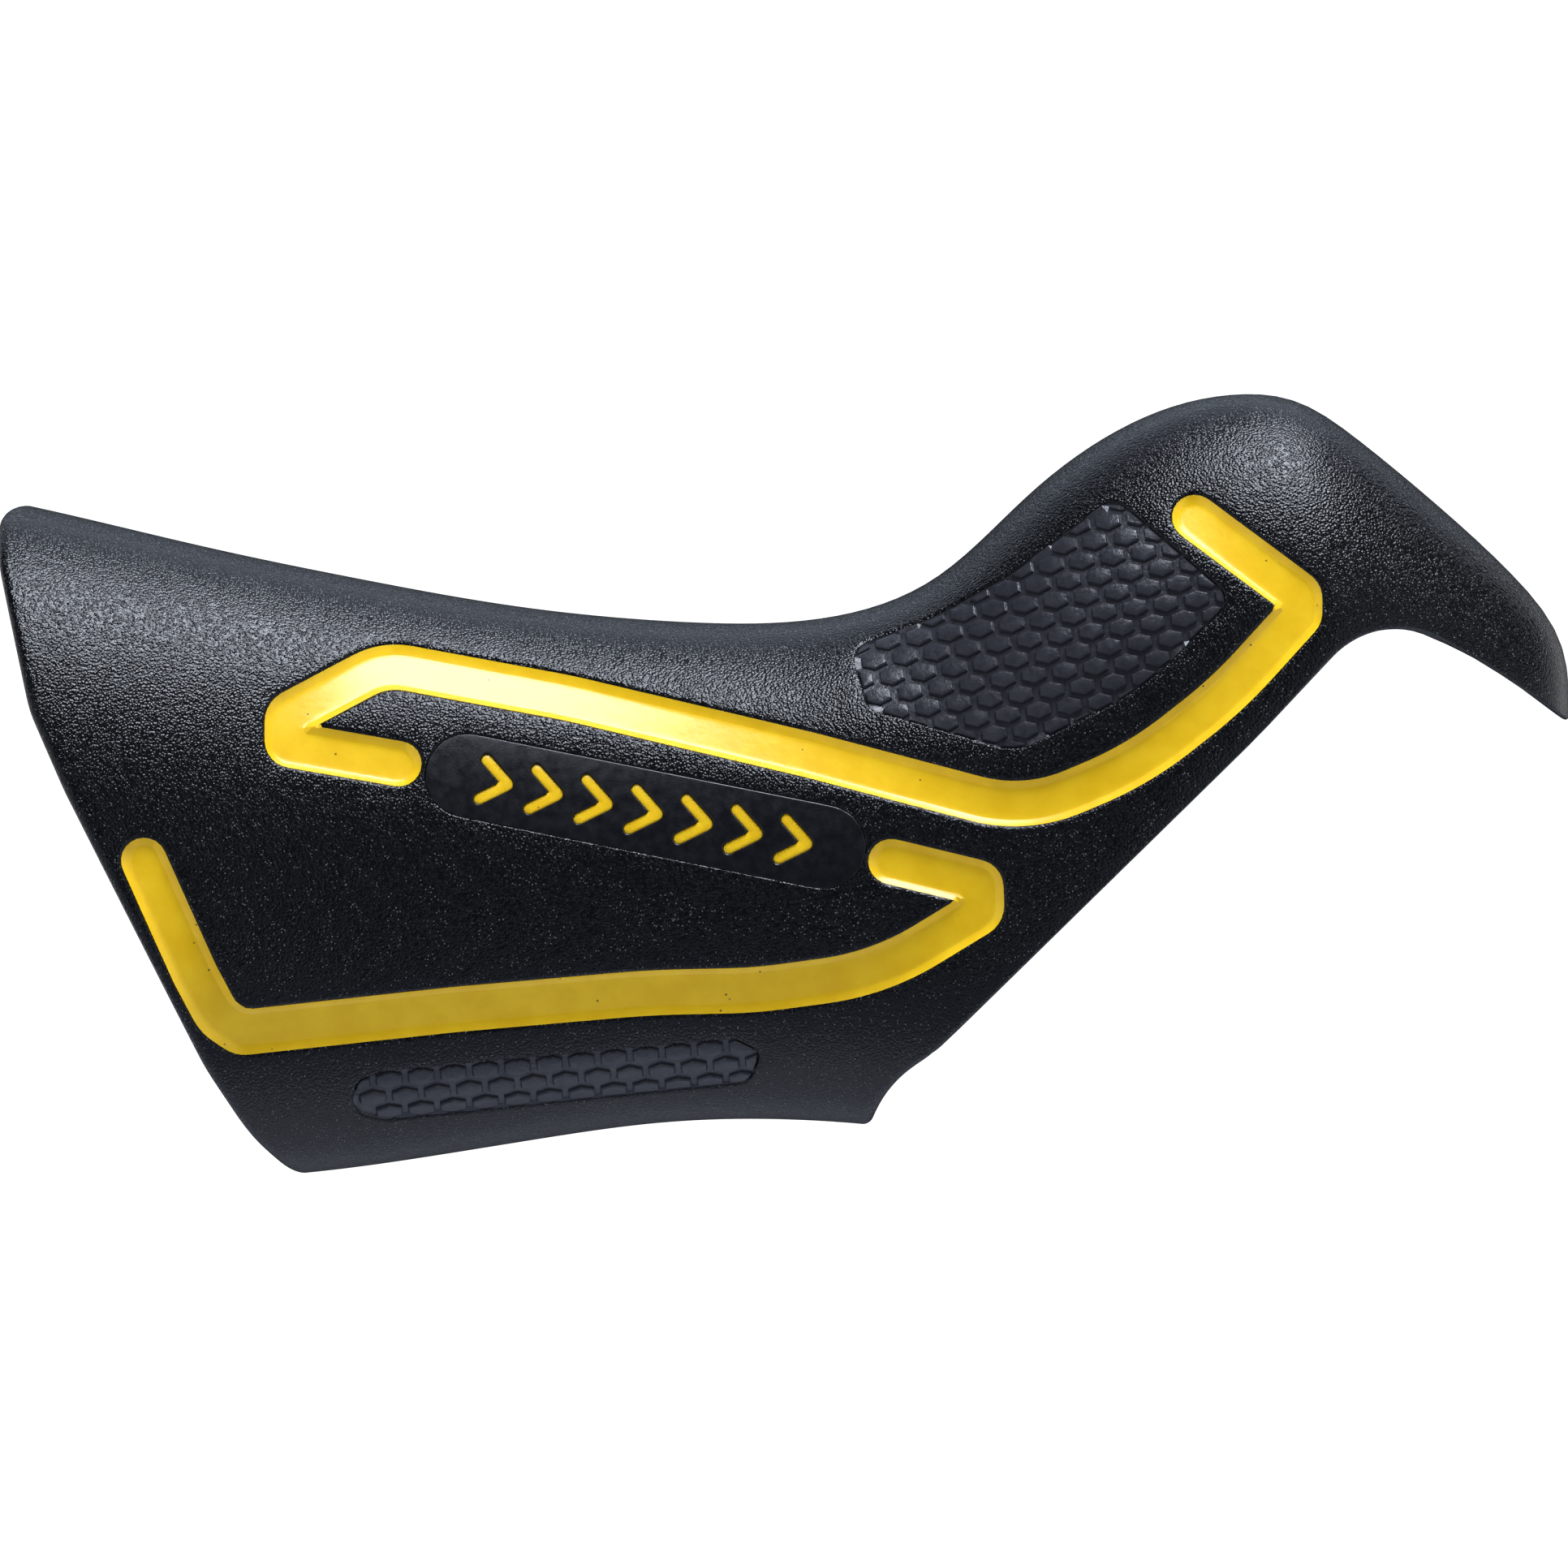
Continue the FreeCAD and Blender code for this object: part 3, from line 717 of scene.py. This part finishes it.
def chevron_paths():
    """Side-view paths of the marks, evenly spaced along the plaque."""
    (x0, z0, _), (x1, z1, _) = PLAQUE_LINE
    along = unit(np.array([x1 - x0, z1 - z0]))
    across = np.array([-along[1], along[0]])
    middle = np.array([(x0 + x1) / 2, (z0 + z1) / 2])
    arm = across * (MARK_HEIGHT / 2 - MARK_HALF)
    tip = along * MARK_HEIGHT / 4
    paths = []
    for i in range(MARK_COUNT):
        centre = middle + along * (i - (MARK_COUNT - 1) / 2) * MARK_PITCH
        corners = [centre - tip + arm, centre + tip, centre - tip - arm]
        bend = [(*corners[0], 0), (*corners[1], MARK_TIP_RADIUS), (*corners[2], 0)]
        paths.append(rounded(bend, False, MARK_STEP))
    return paths


def plaque():
    """The round-ended plaque with a pocket for each mark."""
    rings = shrunk_stroke(rounded(PLAQUE_LINE, False), PLAQUE_HALF, PLAQUE_PROFILE)
    pockets = Shell()
    holes, contours = [], []
    lip_reach, lip_depth = MARK_LIP
    for mark in chevron_paths():
        hole = on_flank(stroke_loop(mark, MARK_HALF, MARK_STEP))
        holes.append((hole, MARK_RIM))
        contours.append((on_flank(stroke_loop(mark, MARK_HALF + lip_reach, 0.28)), lip_depth))
        pockets.add_wall(hole, [MARK_RIM, MARK_FLOOR])
        pockets.add_patch(patch((hole, MARK_FLOOR), spacing=0))
    whole = closed_inlay(rings, holes, contours, 0.8, PLAQUE_PROFILE[-1][1])
    whole.add_shell(pockets)
    return whole


def plaque_marks():
    """The chevrons, each a small cushion a little below the plaque, as one shell each."""
    shells = []
    for mark in chevron_paths():
        rings = [(on_flank(stroke_loop(mark, MARK_HALF - inset, MARK_STEP)), depth)
                 for inset, depth in MARK_PROFILE]
        outline, rim = rings[0]
        shell = Shell()
        shell.add_patch(patch(rings[0], (), rings[1:], 0.3, MARK_TOP))
        shell.add_wall(outline, [rim, MARK_BOTTOM])
        shell.add_patch(patch((outline, MARK_BOTTOM), spacing=0))
        shells.append(shell)
    return shells


def stud_hexagon(centre, wide, tall, slope):
    """Corners of one grip stud: a hexagon with upright flats."""
    corners = np.array([(wide / 2, tall / 4), (0, tall / 2), (-wide / 2, tall / 4),
                        (-wide / 2, -tall / 4), (0, -tall / 2), (wide / 2, -tall / 4)])
    turn = np.array([[math.cos(slope), math.sin(slope)], [-math.sin(slope), math.cos(slope)]])
    return corners @ turn + centre


def thumb_stud_spots():
    """Centre, width, height and slope of every stud that may lie on the thumb pad."""
    slope = THUMB_ROW_SLOPE
    along = np.array([math.cos(slope), math.sin(slope)])
    up = np.array([-along[1], along[0]])
    spots = []
    for row in range(-THUMB_REACH, THUMB_REACH + 1):
        for column in range(-THUMB_REACH, THUMB_REACH + 1):
            centre = THUMB_ORIGIN + (column + 0.5 * (row % 2)) * STUD_PITCH * along + row * STUD_ROW * up
            spots.append((centre, STUD_WIDE, STUD_TALL, slope))
    return spots


def finger_stud_spots():
    """The same for the finger pad's three rows."""
    slope = FINGER_ROW_SLOPE
    spots = []
    for row, (tall, start_z) in enumerate(FINGER_ROWS):
        for column in range(FINGER_COLUMNS):
            step = (column + 0.5 * (row % 2)) * FINGER_PITCH
            centre = np.array([FINGER_START_X + step * math.cos(slope), start_z + step * math.sin(slope)])
            spots.append((centre, FINGER_STUD_WIDE, tall, slope))
    return spots


def grip_pad(corners, spots):
    """A pad whose studs stand on a common sheet, and are cut off at the pad's border.

    Toward its top a stud narrows by twice each level's inset, and by a little more than that in height.
    """
    taper_wide, taper_tall = 2, 2.2
    outline = rounded(corners, True)
    borders = [inner_loop(outline, PAD_BORDER + inset, 0.4) for inset, _ in STUD_PROFILE]
    contours = []
    for centre, wide, tall, slope in spots:
        for (inset, depth), border in zip(STUD_PROFILE, borders):
            window = stud_hexagon(centre, wide - taper_wide * inset, tall - taper_tall * inset, slope)
            loop = clipped(border, window)
            if len(loop) < 3 or loop_area(loop) < SMALLEST_STUD_AREA:
                break
            contours.append((on_flank(loop), depth))
    rim = (on_flank(inner_loop(outline, INLAY_GAP)), PAD_RIM_DEPTH)
    return closed_inlay([rim], contours=contours, spacing=0)


# ---------------------------------------------------------------- the sleeve

def edge_places(angles, depth, edge, outside, rear):
    """Where each lengthwise line of a skin at some depth meets the rear or front edge."""
    samples = 300
    outline = np.vstack([rounded(edge, False, 0.4), [p[:2] for p in outside]])
    first, last = (0, PLACES[5]) if rear else (PLACES[5], PLACES[-1])
    places = np.linspace(first, last, samples)
    found = []
    for angle in angles:
        points = below_skin(np.column_stack([places, np.full(samples, angle * ROUND)]), depth)[:, [0, 2]]
        gone = inside(points, outline)
        near = distance_to(points, outline)
        level = np.where(gone, -near, near)
        i = int(np.argmax(level > 0 if rear else level < 0)) - 1
        found.append(places[i] + (places[i + 1] - places[i]) * level[i] / (level[i] - level[i + 1]))
    return np.array(found)


def edge_rows(angles, edge, outside, rear, outer_round, inner_round):
    """Domain rows over a rounded edge, from the outer skin to the inner skin, with a depth each."""
    outer = edge_places(angles, 0.0, edge, outside, rear)
    inner = edge_places(angles, WALL, edge, outside, rear)
    step, turns = 0.2, np.linspace(0, math.pi / 2, 7)
    run = skin_point(outer + step, angles) - skin_point(outer - step, angles)
    toward = (1 if rear else -1) / (np.linalg.norm(run, axis=1) / (2 * step))
    rows = []
    profile = [(outer_round * (1 - math.sin(a)), outer_round * (1 - math.cos(a))) for a in turns]
    profile += [(inner_round * (1 - math.sin(a)), WALL - inner_round * (1 - math.cos(a)))
                for a in turns[::-1]]
    for back, depth in profile:
        place = outer + (inner - outer) * depth / WALL + toward * back
        rows.append((np.column_stack([place, angles * ROUND]), depth))
    return rows


def line_between(start, stop, angle, step=1.3):
    """Domain points strictly between two places on the top or bottom line."""
    count = max(2, round(abs(stop - start) / step))
    return np.column_stack([np.linspace(start, stop, count + 1), np.full(count + 1, angle * ROUND)])[1:-1]


def pockets_and_lips():
    """The pockets' outlines with the depth of their lips, and the contours over which each lip runs out."""
    holes, contours = [], []
    for corners, radius, (lip, reach) in ((UPPER_STRIPE, STRIPE_HALF, TROUGH_LIP),
                                          (LOWER_STRIPE, STRIPE_HALF, TROUGH_LIP),
                                          (PLAQUE_LINE, PLAQUE_HALF, PLAQUE_LIP)):
        path = rounded(corners, False)
        holes.append((on_flank(stroke_loop(path, radius)), lip))
        contours += [(on_flank(stroke_loop(path, radius + reach * share)), lip * (1 - share) ** 2)
                     for share in LIP_SHARES]
    lip, reach = PAD_LIP
    for corners in (THUMB_PAD, FINGER_PAD):
        loop = rounded(corners, True)
        holes.append((on_flank(resampled(loop, OUTLINE_STEP)), lip))
        contours += [(on_flank(inner_loop(loop, -reach * share)), lip * (1 - share) ** 2)
                     for share in LIP_SHARES]
    return holes, contours


def rib_rise(inner):
    """Height of the palm ribs over points of the inner skin: one on the middle line, one on each side."""
    half_foot, flank, ramp = 1.0, 0.6, 1.5
    near = np.minimum(np.abs(inner[:, 1]), np.abs(np.abs(inner[:, 1]) - RIB_PITCH))
    rise = np.clip((half_foot - near) / flank, 0, 1) * np.clip((inner[:, 0] - RIB_START) / ramp, 0, 1)
    rise *= np.clip((RIB_END - inner[:, 0]) / ramp, 0, 1) * (inner[:, 2] > RIB_LOWEST)
    return RIB_HEIGHT * rise * rise * (3 - 2 * rise)


def hood_half():
    """The outboard half of the sleeve, open along the symmetry plane."""
    angles = np.linspace(0, math.pi, 145)
    rear = edge_rows(angles, REAR_EDGE, REAR_OUTSIDE, True, outer_round=0.9, inner_round=0.5)
    front = edge_rows(angles, FRONT_EDGE, FRONT_OUTSIDE, False, outer_round=0.6, inner_round=0.5)
    half = Shell()

    # The outer skin, then the pockets in it.
    rear_line, front_line = rear[0][0], front[0][0]
    border = np.vstack([rear_line, line_between(rear_line[-1, 0], front_line[-1, 0], math.pi),
                        front_line[::-1], line_between(front_line[0, 0], rear_line[0, 0], 0)])
    holes, contours = pockets_and_lips()
    half.add_patch(patch((border, 0.0), holes, contours))
    for hole, lip in holes:
        half.add_wall(hole, [lip, POCKET_DEPTH])
        half.add_patch(patch((hole, POCKET_DEPTH), spacing=FLOOR_SPACING, inner_depth=POCKET_DEPTH))

    # The rounded edges, then the inner skin with its palm ribs.
    for rows in (rear, front):
        half.add_band([below_skin(domain, depth) for domain, depth in rows], closed=False)
    start, stop = rear[-1][0][:, 0], front[-1][0][:, 0]
    rows = []
    for share in np.linspace(0, 1, 91):
        domain = np.column_stack([start + (stop - start) * share, angles * ROUND])
        rows.append(below_skin(domain, WALL + rib_rise(below_skin(domain, WALL))))
    half.add_band(rows, closed=False)
    return half


def turned_peg(spot):
    """A locating peg on its seat, as a closed turned solid inside the outboard wall."""
    count = 40
    rows = []
    for radius, y in PEG_PROFILE:
        turn = 2 * math.pi * np.arange(count) / count
        rows.append(np.column_stack([spot[0] + radius * np.cos(turn), np.full(count, y),
                                     spot[1] + radius * np.sin(turn)]))
    shell = Shell()
    shell.add_band(rows)
    return shell


# ---------------------------------------------------------------- the object

# Materials by slot name.
looks = {
    "pebbled_rubber": pebbled_rubber(),
    "smooth_rubber": smooth_rubber("smooth_rubber_look", (0.003, 0.0034, 0.005), roughness=0.34,
                                   specular=0.42, dent_mm=0.16, dent_depth=0.012),
    "pad_rubber": smooth_rubber("pad_rubber_look", (0.014, 0.0155, 0.021), roughness=0.34,
                                specular=0.65, dent_mm=0.45, dent_depth=0.05),
    "stripe_silicone": stripe_silicone(),
}

half_sleeve = hood_half()
pegs = [turned_peg(spot) for spot in PEG_SPOTS]
pegs += [peg.mirrored() for peg in pegs]
make_piece("sleeve_shell", [half_sleeve, half_sleeve.mirrored(), *pegs], "hood_sleeve",
           looks["pebbled_rubber"])

# The inlays of one flank: name, slot, angle in degrees from which an edge is sharp, closed shells.
INLAYS = [
    ("upper_stripe", "stripe_silicone", 20, [stripe(UPPER_STRIPE)]),
    ("lower_stripe", "stripe_silicone", 20, [stripe(LOWER_STRIPE)]),
    ("plaque", "smooth_rubber", 14, [plaque()]),
    ("plaque_marks", "stripe_silicone", 14, plaque_marks()),
    ("thumb_pad", "pad_rubber", 14, [grip_pad(THUMB_PAD, thumb_stud_spots())]),
    ("finger_pad", "pad_rubber", 14, [grip_pad(FINGER_PAD, finger_stud_spots())]),
]
for name, slot, sharp, shells in INLAYS:
    look = looks[slot]
    make_piece(f"{name}_outer_side", shells, f"outboard_{name}", look, sharp)
    twins = [shell.mirrored() for shell in shells]
    make_piece(f"{name}_inner_side", twins, f"inboard_{name}", look, sharp)


# ---------------------------------------------------------------- floor, light, camera

PAPER_WHITE = (1, 1, 1, 1)
PAPER_STRENGTH = 1.2


def backdrop_floor():
    """A plain floor, paper white to the camera and a cool grey to the light, unseen from below.

    It lies a little way under the object, so that the underside still gets light.
    """
    mesh = bpy.data.meshes.new("floor")
    reach, z = 6.0, sleeve_low.z - 0.28
    corners = [(-reach, -reach, z), (reach, -reach, z), (reach, reach, z), (-reach, reach, z)]
    mesh.from_pydata(corners, [], [(0, 1, 2, 3)])
    material = bpy.data.materials.new("floor_white")
    material.use_nodes = True
    tree = material.node_tree
    tree.nodes.clear()
    diffuse = node(tree, "ShaderNodeBsdfDiffuse", {"Color": (0.28, 0.30, 0.35, 1)})
    glow = node(tree, "ShaderNodeEmission", {"Color": PAPER_WHITE, "Strength": PAPER_STRENGTH})
    clear = node(tree, "ShaderNodeBsdfTransparent")
    camera_ray = node(tree, "ShaderNodeLightPath").outputs["Is Camera Ray"]
    from_below = node(tree, "ShaderNodeNewGeometry").outputs["Backfacing"]
    seen = node(tree, "ShaderNodeMixShader", {0: camera_ray, 1: diffuse.outputs[0], 2: glow.outputs[0]})
    final = node(tree, "ShaderNodeMixShader", {0: from_below, 1: seen.outputs[0], 2: clear.outputs[0]})
    node(tree, "ShaderNodeOutputMaterial", {"Surface": final.outputs[0]})
    mesh.materials.append(material)
    floor = bpy.data.objects.new("floor", mesh)
    bpy.context.scene.collection.objects.link(floor)


def white_world():
    """White behind the object, a dim grey all round for its reflections."""
    world = bpy.data.worlds.new("studio")
    world.use_nodes = True
    tree = world.node_tree
    tree.nodes.clear()
    seen = node(tree, "ShaderNodeBackground", {"Color": PAPER_WHITE, "Strength": PAPER_STRENGTH})
    dim = node(tree, "ShaderNodeBackground", {"Color": (0.75, 0.85, 1, 1), "Strength": 0.02})
    camera_ray = node(tree, "ShaderNodeLightPath").outputs["Is Camera Ray"]
    mix = node(tree, "ShaderNodeMixShader", {0: camera_ray, 1: dim.outputs[0], 2: seen.outputs[0]})
    node(tree, "ShaderNodeOutputWorld", {"Surface": mix.outputs[0]})
    bpy.context.scene.world = world


def area_light(name, spot, target, width, height, power, colour=(1, 1, 1), reflected=True):
    """A rectangular light that faces a target. One that isn't reflected lights surfaces, but puts no gloss
    on them."""
    data = bpy.data.lights.new(name, "AREA")
    data.shape = "RECTANGLE"
    data.size = width
    data.size_y = height
    data.energy = power
    data.color = colour
    light = bpy.data.objects.new(name, data)
    light.location = spot
    light.rotation_euler = (Vector(target) - Vector(spot)).to_track_quat("-Z", "Y").to_euler()
    light.visible_camera = False
    light.visible_glossy = reflected
    bpy.context.scene.collection.objects.link(light)


def straight_camera():
    """A long lens square to the outboard side, at the photograph's angle and framing.

    Returns the point it looks at, near the middle of the sleeve.
    """
    frame_width = 130.0 * MM
    centre = Vector((sleeve_low.x + 64.98 * MM, 0, sleeve_low.z + 32.34 * MM))
    distance, sensor = 4.0, 36
    data = bpy.data.cameras.new("view")
    data.sensor_width = sensor
    data.lens = sensor * distance / frame_width
    data.clip_start = 0.5
    data.clip_end = 30
    camera = bpy.data.objects.new("view", data)
    camera.location = centre + Vector((0, -distance, 0))
    camera.rotation_euler = (math.pi / 2, 0, 0)
    bpy.context.scene.collection.objects.link(camera)
    bpy.context.scene.camera = camera
    bpy.context.scene.view_settings.view_transform = "Standard"
    return centre


middle = straight_camera()
backdrop_floor()
white_world()

# A softbox above and in front, a cooler one behind, and a weak strip underneath.
area_light("softbox_top", middle + Vector((0.15, -0.15, 0.66)), middle, 0.5, 0.25, 8.0)
area_light("softbox_back", middle + Vector((0, 0.45, 0.5)), middle, 0.9, 0.6, 1.3, (0.75, 0.85, 1))
area_light("strip_below", middle + Vector((0, 0, -0.26)), middle, 0.5, 0.12, 0.09)

# Large fills at the four corners. The stronger share of each isn't reflected, so that it lifts the coloured
# stripes without a pale film on the black rubber.
FILL_WIDTH, FILL_HEIGHT = 0.9, 0.7
for end in (-1, 1):
    for side in (-1, 1):
        spot = middle + Vector((0.55 * end, 0.36 * side, -0.05))
        area_light(f"fill_{end}_{side}", spot, middle, FILL_WIDTH, FILL_HEIGHT, 1.2)
        area_light(f"soft_fill_{end}_{side}", spot, middle, FILL_WIDTH, FILL_HEIGHT, 4.5, reflected=False)
